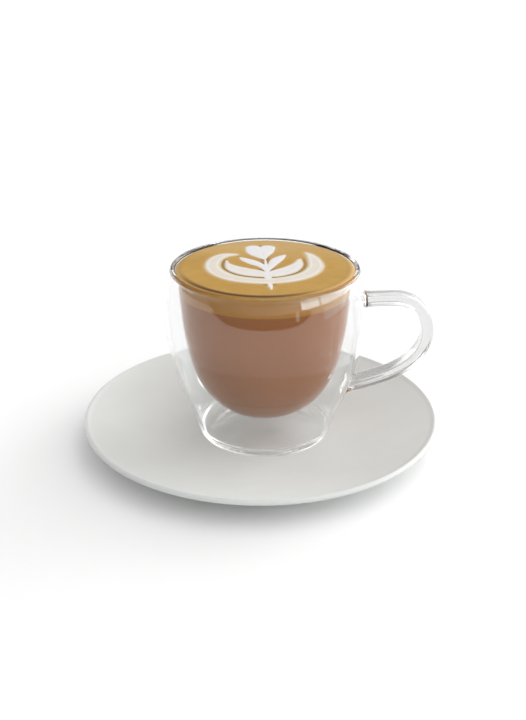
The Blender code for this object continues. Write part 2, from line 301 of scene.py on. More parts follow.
class Bench:
    """A material's node tree, with short calls for the nodes that the finishes share."""

    def __init__(self, name: str) -> None:
        """Starts a material.

        Args:
            name: The material's name.
        """
        self.material = bpy.data.materials.new(name)
        self.material.use_nodes = True
        self.tree = self.material.node_tree
        self.shader = self.tree.nodes["Principled BSDF"]
        self.place = self.tree.nodes.new("ShaderNodeTexCoord").outputs["Object"]

    def put(self, socket: str, value: object) -> None:
        """Sets a value on the shader's own socket."""
        self.shader.inputs[socket].default_value = value

    def join(self, source: Socket, socket: str) -> None:
        """Wires an output to one of the shader's sockets."""
        self.tree.links.new(source, self.shader.inputs[socket])

    def noise(self, scale: float, detail: float, roughness: float = 0.5) -> Socket:
        """A cloudy pattern fixed to the object.

        Args:
            scale: Patches per metre.
            detail: How many finer layers it has.
            roughness: How strong the finer layers are.

        Returns:
            Its value, about 0.5 on average.
        """
        texture = self.tree.nodes.new("ShaderNodeTexNoise")
        texture.inputs["Scale"].default_value = scale
        texture.inputs["Detail"].default_value = detail
        texture.inputs["Roughness"].default_value = roughness
        self.tree.links.new(self.place, texture.inputs["Vector"])
        return texture.outputs[0]

    def cells(self, scale: float) -> Socket:
        """The distance from the middles of small round cells.

        Args:
            scale: Cells per metre.

        Returns:
            The distance's value.
        """
        texture = self.tree.nodes.new("ShaderNodeTexVoronoi")
        texture.inputs["Scale"].default_value = scale
        self.tree.links.new(self.place, texture.inputs["Vector"])
        return texture.outputs["Distance"]

    def attribute(self, name: str) -> Socket:
        """The value of one of the mesh's own attributes."""
        reader = self.tree.nodes.new("ShaderNodeAttribute")
        reader.attribute_name = name
        return reader.outputs["Fac"]

    def spread(
        self, value: Socket, low: float, high: float, start: float = 0.3, end: float = 0.7
    ) -> Socket:
        """Maps a value to a new range.

        Args:
            value: The value to map.
            low: The result at the start.
            high: The result at the end.
            start: The value that gives the low result.
            end: The value that gives the high result.

        Returns:
            The mapped value.
        """
        step = self.tree.nodes.new("ShaderNodeMapRange")
        for socket, limit in (("From Min", start), ("From Max", end), ("To Min", low), ("To Max", high)):
            step.inputs[socket].default_value = limit
        self.tree.links.new(value, step.inputs["Value"])
        return step.outputs["Result"]

    def blend(
        self, share: Socket, first: Socket | Colour,
        second: Socket | Colour
    ) -> Socket:
        """Mixes two colours, each a fixed one or another node's.

        Args:
            share: How much of the second shows, from 0 to 1.
            first: The first colour.
            second: The second colour.

        Returns:
            The mixed colour.
        """
        mix = self.tree.nodes.new("ShaderNodeMix")
        mix.data_type = "RGBA"
        self.tree.links.new(share, mix.inputs[0])
        for socket, colour in ((mix.inputs[6], first), (mix.inputs[7], second)):
            if isinstance(colour, tuple):
                socket.default_value = (*colour, 1.0)
            else:
                self.tree.links.new(colour, socket)
        return mix.outputs[2]

    def bump(self, height: Socket, strength: float, distance: float) -> None:
        """Raises the surface's shading by a pattern.

        Args:
            height: The pattern.
            strength: How much of it shows, from 0 to 1.
            distance: The height of the pattern in metres.
        """
        step = self.tree.nodes.new("ShaderNodeBump")
        step.inputs["Strength"].default_value = strength
        step.inputs["Distance"].default_value = distance
        self.tree.links.new(height, step.inputs["Height"])
        self.join(step.outputs["Normal"], "Normal")


@dataclass(frozen=True)
class Porcelain:
    """White glazed porcelain with a satin sheen and a faint ripple in the glaze."""

    body: Colour = (0.645, 0.660, 0.645)
    pale: Colour = (0.675, 0.690, 0.675)
    gloss_low: float = 0.45
    gloss_high: float = 0.55
    shine: float = 0.3

    def material(self) -> bpy.types.Material:
        """The finish as a material."""
        bench = Bench("white_glazed_porcelain")
        bench.join(bench.blend(bench.spread(bench.noise(45, 3), 0, 1), self.body, self.pale), "Base Color")
        bench.join(bench.spread(bench.noise(160, 4), self.gloss_low, self.gloss_high), "Roughness")
        bench.put("Specular IOR Level", self.shine)
        bench.bump(bench.noise(520, 2), 0.25, 0.00004)
        return bench.material


@dataclass(frozen=True)
class ClearGlass:
    """Clear borosilicate glass with the faint waves of blown walls, and a painted grey shade where it is thick, in
    the handle.
    """

    tint: Colour = (0.935, 0.940, 0.938)
    pale: Colour = (0.950, 0.953, 0.952)
    # Painted shade: a greyer tint for the thick glass of the handle.
    thick_shade: Colour = (0.78, 0.785, 0.785)

    def material(self) -> bpy.types.Material:
        """The finish as a material."""
        bench = Bench("clear_borosilicate_glass")
        wall = bench.blend(bench.spread(bench.noise(30, 1), 0, 1), self.tint, self.pale)
        bench.join(bench.blend(bench.attribute("thick_glass_shade"), wall, self.thick_shade), "Base Color")
        bench.join(bench.spread(bench.noise(90, 2), 0.0, 0.012), "Roughness")
        bench.put("Transmission Weight", 1.0)
        bench.put("IOR", 1.47)
        bench.bump(bench.noise(55, 1), 0.25, 0.00006)
        return bench.material


@dataclass(frozen=True)
class MilkCoffee:
    """Opaque milk coffee, a little paler in slow clouds where the milk went in."""

    brown: Colour = (0.255, 0.084, 0.014)
    milky: Colour = (0.285, 0.098, 0.024)

    def material(self) -> bpy.types.Material:
        """The finish as a material."""
        bench = Bench("milk_coffee")
        cloud = bench.spread(bench.noise(38, 3), 0, 1)
        bench.join(bench.blend(cloud, self.brown, self.milky), "Base Color")
        bench.join(bench.spread(bench.noise(120, 2), 0.35, 0.5), "Roughness")
        bench.put("IOR", 1.12)
        bench.bump(bench.noise(300, 1), 0.1, 0.00003)
        return bench.material


@dataclass(frozen=True)
class Crema:
    """Golden brown coffee foam: mottled, with pin-sized bubbles, paler beside the milk and at the glass, with a
    painted sheen towards the back, painted shade between the milk strokes and a painted shade ring along the
    glass.
    """

    deep: Colour = (0.44, 0.240, 0.035)
    golden: Colour = (0.50, 0.290, 0.058)
    milky: Colour = (0.62, 0.44, 0.22)
    edge: Colour = (0.56, 0.36, 0.14)
    # Painted shade in the narrow gaps of crema between milk strokes.
    crease_shade: Colour = (0.30, 0.185, 0.055)
    # Painted shade: a dark ring along the glass, strongest at the front left.
    ring: Colour = (0.10, 0.038, 0.005)
    wet: Colour = (0.385, 0.168, 0.016)

    def material(self) -> bpy.types.Material:
        """The finish as a material."""
        bench = Bench("crema")
        mottled = bench.blend(bench.spread(bench.noise(70, 5, 0.6), 0, 1), self.deep, self.golden)
        ringed = bench.blend(bench.attribute("glass_nearness"), mottled, self.edge)
        # Paler beside the milk, and paler towards the back as a painted sheen.
        streaked = bench.blend(bench.attribute("milk_nearness_and_back_sheen"), ringed, self.milky)
        # Painted shade in the gaps between milk strokes.
        crease_shaded = bench.blend(bench.attribute("shade_between_milk"), streaked, self.crease_shade)
        # Painted shade ring along the glass.
        edge_shaded = bench.blend(bench.attribute("painted_edge_shade"), crease_shaded, self.ring)
        bench.join(bench.blend(bench.attribute("behind_glass"), edge_shaded, self.wet), "Base Color")
        bench.join(bench.spread(bench.noise(200, 3), 0.38, 0.52), "Roughness")
        bench.put("IOR", 1.33)
        bench.bump(bench.cells(1400), 0.15, 0.00004)
        return bench.material


@dataclass(frozen=True)
class MilkFoam:
    """Poured milk foam: white in the middle of each stroke and stained by the crema towards its edge."""

    white: Colour = (0.75, 0.735, 0.74)
    cream: Colour = (0.66, 0.57, 0.39)
    stained: Colour = (0.60, 0.42, 0.20)

    def material(self) -> bpy.types.Material:
        """The finish as a material."""
        bench = Bench("milk_foam")
        streaked = bench.spread(bench.noise(260, 4), -0.12, 0.12)
        total = bench.tree.nodes.new("ShaderNodeMath")
        total.operation = "ADD"
        total.use_clamp = True
        bench.tree.links.new(bench.attribute("creaminess"), total.inputs[0])
        bench.tree.links.new(streaked, total.inputs[1])
        poured = bench.blend(total.outputs[0], self.white, self.cream)
        bench.join(bench.blend(bench.attribute("stain"), poured, self.stained), "Base Color")
        bench.join(bench.spread(bench.noise(300, 2), 0.42, 0.55), "Roughness")
        bench.put("IOR", 1.33)
        bench.bump(bench.cells(2200), 0.12, 0.00003)
        return bench.material


@dataclass(frozen=True)
class WhiteTable:
    """The plain white table top."""

    white: Colour = (0.92, 0.92, 0.92)
    pale: Colour = (0.94, 0.94, 0.94)

    def material(self) -> bpy.types.Material:
        """The finish as a material."""
        bench = Bench("white_table")
        bench.join(bench.blend(bench.spread(bench.noise(6, 2), 0, 1), self.white, self.pale), "Base Color")
        bench.join(bench.spread(bench.noise(80, 2), 0.7, 0.8), "Roughness")
        bench.put("Specular IOR Level", 0.2)
        return bench.material


# The glass

@dataclass
class StrapHandle:
    """The strap handle: a bar with round corners, bent in the plane through the cup's axis."""

    route: tuple[tuple[float, float], ...] = (
        (0.0372, 0.0611), (0.0460, 0.0615), (0.0534, 0.0616), (0.0588, 0.0598),
        (0.0628, 0.0556), (0.0648, 0.0490), (0.0642, 0.0428), (0.0602, 0.0363),
        (0.0540, 0.0314), (0.0450, 0.0273), (0.0300, 0.0231),
    )
    stations: int = 8
    easing: int = 6
    thickness: float = 0.0045
    width: float = 0.0078
    corner: float = 0.0011
    corner_steps: int = 5
    fillet: float = 0.0013

    def middle_line(self, axis_x: float) -> list[Vector]:
        """The line through the strap's middle, for a cup whose axis stands at a place along X."""
        line = eased(through_knots(self.route, self.stations), self.easing)
        return [Vector((axis_x + point.x, 0.0, point.y)) for point in line]

    def build(self, axis_x: float) -> Piece:
        """Bends the strap along its route.

        Args:
            axis_x: Where the cup's axis stands along X.

        Returns:
            The strap with its ends inside the cup's wall.
        """
        places = self.middle_line(axis_x)
        slopes = []
        for index in range(len(places)):
            along = places[min(index + 1, len(places) - 1)] - places[max(index - 1, 0)]
            slopes.append(math.atan2(along.z, along.x))
        bpy.ops.object.select_all(action="DESELECT")
        bpy.ops.mesh.primitive_plane_add(size=1.0, rotation=(0.0, math.pi / 2, 0.0))
        strap = bpy.context.active_object
        strap.name = "strap"
        bpy.ops.object.transform_apply(location=False, rotation=True, scale=True)
        bpy.ops.object.mode_set(mode="EDIT")
        bpy.ops.mesh.select_all(action="SELECT")
        bpy.ops.transform.resize(value=(1.0, self.width, self.thickness), center_override=(0.0, 0.0, 0.0))
        bpy.ops.mesh.bevel(offset=self.corner, segments=self.corner_steps, affect="VERTICES")
        bpy.ops.mesh.select_all(action="SELECT")
        bpy.ops.transform.translate(value=places[0])
        self.tilt(places[0], slopes[0])
        for before, after, old_slope, slope in zip(places, places[1:], slopes, slopes[1:]):
            bpy.ops.mesh.extrude_region_move(TRANSFORM_OT_translate={"value": after - before})
            turned_by = (slope - old_slope + math.pi) % math.tau - math.pi
            self.tilt(after, turned_by)
        bpy.ops.mesh.select_all(action="SELECT")
        bpy.ops.mesh.normals_make_consistent(inside=False)
        bpy.ops.object.mode_set(mode="OBJECT")
        return strap

    @staticmethod
    def tilt(place: Vector, angle: float) -> None:
        """Turns the selected section about the Y axis, upwards for a positive angle."""
        bpy.ops.transform.rotate(value=angle, orient_axis="Y", center_override=place)

    def swell_at_wall(self, strap: Piece, wall: list[Vector], axis_x: float) -> None:
        """Rounds the strap out where it meets the wall, as fused glass does.

        Args:
            strap: The strap.
            wall: The cup's outer wall as (radius, height), the highest first.
            axis_x: Where the cup's axis stands along X.
        """
        route = self.middle_line(axis_x)
        for vertex in strap.data.vertices:
            place = vertex.co
            radius = math.hypot(place.x - axis_x, place.y)
            height = min(max(place.z, wall[-1].y), wall[0].y)
            clear = radius - point_at(wall, height).x
            if clear >= self.fillet:
                continue
            depth = self.fillet - max(clear, 0.0)
            grow = self.fillet - math.sqrt(max(self.fillet ** 2 - depth ** 2, 0.0))
            nearest = min(route, key=lambda point: (point - place).length)
            outward = place - nearest
            vertex.co = place + outward.normalized() * grow


@dataclass
class GlassCup:
    """The double-walled glass: an outer wall, a bowl inside it, a foot and a strap handle, in one piece."""

    axis_x: float = 0.0017
    outer_knots: tuple[tuple[float, float], ...] = (
        (0.0371, 0.0742), (0.0384, 0.0698), (0.0399, 0.0580), (0.0396, 0.0490),
        (0.0368, 0.0340), (0.0338, 0.0243), (0.0300, 0.0152), (0.0273, 0.0078),
        (0.0267, 0.0056), (0.0255, 0.0042),
    )
    outer_thickness: float = 0.0012
    rim_height: float = 0.0750
    rim_round: float = 0.0009
    rim_points: int = 11
    bowl_radius: float = 0.0344
    bowl_taper: float = 0.0039
    bowl_top: float = 0.0747
    bowl_bottom: float = 0.0134
    side_power: float = 2.57
    depth_power: float = 3.8
    bowl_wall: float = 0.0015
    flare_start: float = 0.0705
    flare_end: float = 0.0748
    flare_width: float = 0.0027
    flare_width_outside: float = 0.0022
    bowl_steps: int = 44
    flare_steps: int = 14
    foot_radius: float = 0.0225
    hollow_radius: float = 0.0190
    hollow_height: float = 0.0006
    base_thickness: float = 0.0023
    air_corner: float = 0.0013
    corner_reach: float = 2.5
    corner_rise: float = 0.4
    corner_stations: int = 3
    air_top: float = 0.0735
    turn_steps: int = 180
    wall_stations: int = 7
    wall_easing: int = 4
    handle: StrapHandle = field(default_factory=StrapHandle)
    glass: ClearGlass = field(default_factory=ClearGlass)

    @property
    def bottom(self) -> float:
        """The height of the cup's foot."""
        return self.outer_knots[-1][1]

    def flare(self, height: float, width: float) -> float:
        """How far a side of the bowl that opens out by a width has opened at a height."""
        return width * float(smoothstep((height - self.flare_start) / (self.flare_end - self.flare_start)))

    def bowl(self, inset: float, top: float) -> list[Vector]:
        """The bowl from a height down to its lowest point.

        Args:
            inset: How far it is set in from the side that faces the air space.
            top: The height to start from.

        Returns:
            Points of (radius, height), the highest first.
        """
        curve = []
        for step in range(self.bowl_steps + 1):
            angle = 0.5 * math.pi * step / self.bowl_steps
            share = math.sin(angle) ** (2 / self.depth_power)
            side = abs(math.cos(angle)) ** (2 / self.side_power)
            radius = (self.bowl_radius - self.bowl_taper * share) * side
            curve.append(Vector((radius, self.bowl_top - (self.bowl_top - self.bowl_bottom) * share)))
        curve = beside(curve, -inset)
        curve[-1] = Vector((0.0, self.bowl_bottom + inset))
        start = point_at(curve, self.flare_start)
        rise = self.flare_start - top
        lip = [Vector((start.x, top + rise * step / self.flare_steps)) for step in range(self.flare_steps)]
        side_points = lip + [start] + [point for point in curve if point.y < self.flare_start - MM]
        width = self.flare_width if inset > 0 else self.flare_width_outside
        return [Vector((point.x + self.flare(point.y, width), point.y)) for point in side_points]

    def outer_wall(self, inset: float) -> list[Vector]:
        """The outer wall from the rim down to the foot, set in by a distance."""
        wall = eased(through_knots(self.outer_knots, self.wall_stations), self.wall_easing)
        return beside(wall, -inset)

    def rim(self) -> list[Vector]:
        """The round rim, from the bowl's side over the top to the outer wall."""
        base = self.rim_height - self.rim_round
        inner = self.bowl(self.bowl_wall, base)[0]
        outer = self.outer_wall(0.0)[0]
        centre = Vector(((inner.x + outer.x) / 2, base))
        half = (outer.x - inner.x) / 2
        points = []
        for step in range(1, self.rim_points + 1):
            angle = math.pi * step / (self.rim_points + 1)
            points.append(centre + Vector((-half * math.cos(angle), self.rim_round * math.sin(angle))))
        return points

    def inner_side(self) -> list[Vector]:
        """The inside of the bowl from its lowest point up to where the rim starts to round over."""
        return self.bowl(self.bowl_wall, self.rim_height - self.rim_round)[::-1]

    def wet_side(self, reach: float) -> list[Vector]:
        """The inside of the bowl and rim, from the rim's top down, a little way into the glass.

        Args:
            reach: How far into the glass it lies.

        Returns:
            Points of (radius, height), the highest first.
        """
        side = self.inner_side() + self.rim()[:self.rim_points // 2]
        return beside(side[::-1], reach)

    def skin(self) -> list[Vector]:
        """The section of everything that the glass shows outside, from the bowl's bottom to the underside."""
        hollow = self.bottom + self.hollow_height
        underside = [
            Vector((self.foot_radius, self.bottom)),
            Vector((self.hollow_radius, hollow)),
            Vector((0.0, hollow)),
        ]
        return self.inner_side() + self.rim() + self.outer_wall(0.0) + underside

    def air_space(self) -> list[Vector]:
        """The section of the air between the walls, from the middle of its floor to under the bowl."""
        floor = self.bottom + self.base_thickness
        air_side = self.outer_wall(self.outer_thickness)
        air_outer = [point_at(air_side, self.air_top)]
        air_outer += [point for point in air_side if floor + self.air_corner < point.y < self.air_top - MM]
        air_outer.reverse()
        corner = [
            Vector((air_outer[0].x - self.corner_reach * self.air_corner, floor)),
            Vector((air_outer[0].x - self.air_corner, floor + self.corner_rise * self.air_corner)),
        ]
        fine_corner = through_knots((*corner, air_outer[0]), self.corner_stations)[:-1]
        return [Vector((0.0, floor))] + fine_corner + air_outer + self.bowl(0.0, self.air_top)

    def build(self) -> None:
        """Turns the glass, joins its handle and dresses it."""
        cup = turn("glass", self.skin(), self.axis_x, self.turn_steps)
        shape_with(cup, turn("air", self.air_space(), self.axis_x, self.turn_steps), "DIFFERENCE")
        strap = self.handle.build(self.axis_x)
        self.handle.swell_at_wall(strap, self.outer_wall(0.0), self.axis_x)
        middle = self.outer_wall(self.outer_thickness / 2)
        closed = [Vector((0.0, middle[0].y))] + middle + [Vector((0.0, middle[-1].y))]
        trim = turn("trim", closed, self.axis_x, self.turn_steps)
        shape_with(strap, trim, "DIFFERENCE")
        shape_with(cup, strap, "UNION")
        # Marks the glass that stands out beyond the outer wall, which gets the painted grey shade of the handle.
        places = places_of(cup)
        wall = self.outer_wall(0.0)
        edge = np.interp(places[:, 2], [point.y for point in wall][::-1], [point.x for point in wall][::-1])
        clear = np.hypot(places[:, 0] - self.axis_x, places[:, 1]) - edge
        store(cup, "thick_glass_shade", smoothstep(clear / MM))
        cup.visible_shadow = False
        cup.visible_diffuse = False
        keep_as(cup, "glass_cup", self.glass.material())


# The drink

class Tone(Enum):
    """How much of the crema a stroke of milk carries."""

    WHITE = 0.0
    MILKY = 0.25
    CREAMY = 0.55


@dataclass(frozen=True)
class Stroke:
    """One poured stroke: its middle line as (x, y, half width) in millimetres from the cup's axis."""

    knots: tuple[tuple[float, float, float], ...]
    tone: Tone = Tone.WHITE

    def depth(self, x: np.ndarray, y: np.ndarray) -> np.ndarray:
        """How far inside the stroke places lie.

        Args:
            x: The places' first coordinates in millimetres.
            y: Their second coordinates in millimetres.

        Returns:
            The distance to the stroke's edge in millimetres, negative outside.
        """
        stations = through_knots(self.knots, STROKE_STATIONS)
        best = np.full(x.shape, -1e9)
        for start, end in zip(stations, stations[1:]):
            run_x = end.x - start.x
            run_y = end.y - start.y
            length = run_x ** 2 + run_y ** 2
            share = np.clip(((x - start.x) * run_x + (y - start.y) * run_y) / length, 0.0, 1.0)
            away = np.hypot(x - start.x - share * run_x, y - start.y - share * run_y)
            best = np.maximum(best, start.z + (end.z - start.z) * share - away)
        return best


@dataclass
class MilkPattern:
    """The poured pattern: a heart, two pairs of leaves, a crescent and the stem drawn through them."""

    strokes: tuple[Stroke, ...] = (
        Stroke(((-0.1, 8.4, 0.4), (-2.4, 12.9, 2.0), (-4.1, 17.9, 3.4), (-4.8, 23.3, 3.2))),
        Stroke(((0.1, 8.4, 0.4), (0.2, 12.9, 1.4), (0.6, 17.9, 3.0), (1.1, 23.3, 3.3))),
        Stroke((
            (0.6, -5.1, 0.8), (-1.4, 0.6, 1.7), (-4.6, 4.7, 2.4), (-8.0, 8.4, 1.8), (-9.7, 10.8, 0.6),
        )),
        Stroke((
            (1.1, -5.1, 0.8), (2.8, 1.8, 1.8), (4.2, 6.6, 2.4), (6.1, 10.6, 2.0), (7.9, 13.8, 0.7),
        )),
        Stroke((
            (1.1, -10.8, 1.8), (-3.2, -8.2, 3.8), (-7.8, -5.9, 4.1), (-12.1, -2.2, 3.2),
            (-14.6, 2.8, 1.3), (-15.2, 7.4, 0.5),
        ), Tone.MILKY),
        Stroke((
            (1.5, -10.8, 1.8), (4.9, -7.9, 3.8), (9.4, -4.0, 3.8), (12.7, 2.0, 2.5), (13.8, 8.6, 0.9),
        ), Tone.MILKY),
        Stroke((
            (-11.8, 14.5, 1.6), (-16.6, 13.2, 2.9), (-19.9, 7.4, 3.3), (-20.3, -1.4, 3.5),
            (-17.0, -8.8, 3.6), (-10.5, -14.5, 3.6), (0.4, -17.0, 3.4), (10.4, -14.2, 3.6),
            (16.8, -8.5, 3.7), (19.9, -0.6, 3.6), (19.6, 7.4, 3.1), (18.3, 13.4, 2.2),
            (16.5, 17.0, 1.1),
        ), Tone.CREAMY),
        Stroke((
            (0.1, 9.4, 0.4), (0.5, -0.1, 0.9), (0.9, -7.6, 1.3), (1.2, -13.1, 1.6), (1.8, -19.6, 1.2),
            (2.4, -25.8, 0.5),
        )),
    )
    axis_x: float = 0.0017
    level: float = 0.0747
    thickness: float = 0.0009
    dome: float = 0.00012
    sunk_edge: float = 0.00003
    dome_width: float = 0.45
    sheet_half: float = 28.0
    cell: float = 0.24
    edge_passes: int = 4
    probe: float = 0.02
    least_slope: float = 0.25
    upright: float = 0.5
    stain_width: float = 1.5
    white_stain: float = 0.4
    gap_reach: float = 1.7
    gap_soft: float = 0.9
    pale_depth: float = 1.6
    pale_width: float = 0.5
    pale_strength: float = 0.8
    tone_reach: float = 4.0
    tone_power: float = 3.0
    foam: MilkFoam = field(default_factory=MilkFoam)

    def depth(self, x: np.ndarray, y: np.ndarray) -> np.ndarray:
        """How far inside the whole pattern places lie, in millimetres, negative outside."""
        return np.max([stroke.depth(x, y) for stroke in self.strokes], axis=0)

    def between(self, x: np.ndarray, y: np.ndarray) -> np.ndarray:
        """How much each place lies in a narrow gap between two strokes, from 0 to 1, where the crema gets painted
        shade.
        """
        depths = np.sort([stroke.depth(x, y) for stroke in self.strokes], axis=0)
        return smoothstep((depths[-2] + self.gap_reach) / self.gap_soft) * (depths[-1] < self.cell)

    def creaminess(self, x: np.ndarray, y: np.ndarray) -> np.ndarray:
        """How creamy each place is, from the tones of the strokes that it lies in."""
        depths = np.array([stroke.depth(x, y) for stroke in self.strokes])
        weights = np.exp(np.clip(depths, -self.tone_reach, self.tone_reach) * self.tone_power)
        tones = np.array([stroke.tone.value for stroke in self.strokes])
        return (weights * tones[:, None]).sum(0) / weights.sum(0)

    def build(self) -> None:
        """Cuts the pattern out of a sheet of foam, domes it and dresses it."""
        count = round(2 * self.sheet_half / self.cell)
        bpy.ops.object.select_all(action="DESELECT")
        bpy.ops.mesh.primitive_grid_add(
            x_subdivisions=count, y_subdivisions=count, size=2 * self.sheet_half * MM,
            location=(self.axis_x, 0.0, self.level),
        )
        pattern = bpy.context.active_object
        bpy.ops.object.transform_apply(location=True, rotation=False, scale=False)
        bpy.ops.object.mode_set(mode="EDIT")
        bpy.ops.mesh.select_all(action="DESELECT")
        body = bmesh.from_edit_mesh(pattern.data)
        middles = np.array([face.calc_center_median() for face in body.faces])
        inside = self.depth((middles[:, 0] - self.axis_x) / MM, middles[:, 1] / MM) > 0
        for face, kept in zip(body.faces, inside):
            face.select = not kept
        bmesh.update_edit_mesh(pattern.data)
        bpy.ops.mesh.delete(type="FACE")
        bpy.ops.mesh.select_all(action="SELECT")
        bpy.ops.mesh.extrude_region_move(TRANSFORM_OT_translate={"value": (0.0, 0.0, -self.thickness)})
        bpy.ops.mesh.select_all(action="SELECT")
        bpy.ops.mesh.normals_make_consistent(inside=False)
        bpy.ops.object.mode_set(mode="OBJECT")

        places = places_of(pattern)
        x = (places[:, 0] - self.axis_x) / MM
        y = places[:, 1] / MM
        near = self.depth(x, y) < self.cell
        probe = self.probe
        for _ in range(self.edge_passes):
            depth = self.depth(x, y)
            slope_x = (self.depth(x + probe, y) - self.depth(x - probe, y)) / (2 * probe)
            slope_y = (self.depth(x, y + probe) - self.depth(x, y - probe)) / (2 * probe)
            steep = np.maximum(slope_x ** 2 + slope_y ** 2, self.least_slope)
            on_edge = self.edge_vertices(pattern) & near
            x = np.where(on_edge, x - depth * slope_x / steep, x)
            y = np.where(on_edge, y - depth * slope_y / steep, y)
        depth = np.maximum(self.depth(x, y), 0.0)
        on_top = places[:, 2] > self.level - self.thickness / 2
        rise = (self.dome + self.sunk_edge) * (1 - np.exp(-depth / self.dome_width)) - self.sunk_edge
        places[:, 0] = x * MM + self.axis_x
        places[:, 1] = y * MM
        places[:, 2] = np.where(on_top, self.level + rise, places[:, 2])
        move_to(pattern, places)
        creamy = self.creaminess(x, y)
        share = np.clip(creamy / Tone.CREAMY.value, 0.0, 1.0)
        width = self.stain_width * (self.white_stain + (1 - self.white_stain) * share)
        store(pattern, "stain", (1 - smoothstep(depth / width)) * (self.white_stain + share / 2))
        pale = self.pale_strength * np.exp(-((depth - self.pale_depth) / self.pale_width) ** 2)
        store(pattern, "creaminess", creamy * (1 - pale))
        keep_as(pattern, "latte_art", self.foam.material())

    def edge_vertices(self, pattern: Piece) -> np.ndarray:
        """Which vertices lie on the pattern's upright sides."""
        marked = np.zeros(len(pattern.data.vertices), bool)
        for polygon in pattern.data.polygons:
            if abs(polygon.normal.z) < self.upright:
                marked[list(polygon.vertices)] = True
        return marked


@dataclass
class Drink:
    """The milk coffee and the crema on it, which wet the glass all round."""

    cup: GlassCup
    pattern: MilkPattern
    level: float = 0.0747
    crema_depth: float = 0.0089
    reach: float = 0.00006
    ring_spacing: float = 0.00036
    turn_steps: int = 240
    pocket: float = 0.0005
    pocket_start: float = 0.35
    pocket_width: float = 0.5
    # Where the painted shade ring along the glass is strongest, how far round it reaches and how softly it fades.
    dark_way: float = -108.0
    dark_reach: float = 62.0
    dark_soft: float = 0.5
    shoulder_drop: float = 0.0009
    shoulder_width: float = 0.0021
    streak_width: float = 0.5
    streak_strength: float = 0.45
    # Where the painted sheen towards the back starts and how far it takes to rise, in millimetres, and how strong
    # it gets.
    back_sheen_start: float = 3.0
    back_sheen_reach: float = 25.0
    back_sheen_strength: float = 0.4
    edge_width: float = 0.0022
    edge_strength: float = 0.5
    # Where the painted shade ring lies, measured in from the glass, and how faint it gets away from its strongest
    # side.
    ring_start: float = 0.0008
    ring_rise: float = 0.0005
    ring_end: float = 0.0019
    ring_fall: float = 0.0018
    ring_least: float = 0.12
    sharp_angle: float = 40.0
    coffee_finish: MilkCoffee = field(default_factory=MilkCoffee)
    crema_finish: Crema = field(default_factory=Crema)

    def build_coffee(self) -> None:
        """Turns the milk coffee under the crema and dresses it."""
        top = self.level - self.crema_depth
        side = self.cup.wet_side(self.reach)
        side[-1] = Vector((0.0, self.cup.bowl_bottom + self.cup.bowl_wall - self.reach))
        run = [point_at(side, top)] + [point for point in side if point.y < top - CLOSE]
        coffee = turn("coffee", [Vector((0.0, top))] + run, self.cup.axis_x, self.turn_steps)
        keep_as(coffee, "coffee", self.coffee_finish.material(), self.sharp_angle)

    def build_crema(self) -> None:
        """Turns the crema, sinks a shallow pocket under the milk pattern and dresses it."""
        bottom = self.level - self.crema_depth
        wall = self.cup.wet_side(self.reach)
        contact = self.level - self.shoulder_drop
        run = [point for point in wall if bottom + CLOSE < point.y < contact - CLOSE]
        side = [point_at(wall, contact)] + run + [point_at(wall, bottom)]
        rings = round(side[0].x / self.ring_spacing)
        surface = [Vector((side[0].x * ring / rings, contact)) for ring in range(rings)]
        profile = surface + side + [Vector((0.0, bottom))]
        crema = turn("crema", profile, self.cup.axis_x, self.turn_steps)
        places = places_of(crema)
        x = (places[:, 0] - self.cup.axis_x) / MM
        y = places[:, 1] / MM
        depth = self.pattern.depth(x, y)
        on_top = places[:, 2] > contact - MERGE_DISTANCE
        from_glass = np.maximum(side[0].x - np.hypot(x, y) * MM, 0.0)
        fall = self.shoulder_drop * np.clip(1 - from_glass / self.shoulder_width, 0.0, 1.0) ** 2
        sink = self.pocket * smoothstep((depth - self.pocket_start) / self.pocket_width)
        places[:, 2] = np.where(on_top, self.level - fall - sink, places[:, 2])
        move_to(crema, places)
        streak_and_sheen = np.exp(-np.abs(depth) / self.streak_width) * self.streak_strength
        # Painted sheen: the crema gets paler towards the back.
        streak_and_sheen += smoothstep((y - self.back_sheen_start) / self.back_sheen_reach) * self.back_sheen_strength
        # Painted shade: a dark ring along the glass, strongest towards the front left.
        turned = np.arctan2(y, x) - math.radians(self.dark_way)
        facing_shade = smoothstep((np.cos(turned) - math.cos(math.radians(self.dark_reach))) / self.dark_soft)
        ring = smoothstep((from_glass - self.ring_start) / self.ring_rise)
        ring *= 1 - smoothstep((from_glass - self.ring_end) / self.ring_fall)
        for name, values in (
            ("milk_nearness_and_back_sheen", streak_and_sheen),
            # Painted shade in the gaps between milk strokes.
            ("shade_between_milk", self.pattern.between(x, y)),
            ("glass_nearness", np.exp(-from_glass / self.edge_width) * self.edge_strength),
            ("painted_edge_shade", ring * (self.ring_least + (1 - self.ring_least) * facing_shade)),
        ):
            store(crema, name, np.where(on_top, values, 0.0))
        store(crema, "behind_glass", 1 - smoothstep((places[:, 2] - contact + MM) / MM))
        keep_as(crema, "crema", self.crema_finish.material(), self.sharp_angle)


# The saucer

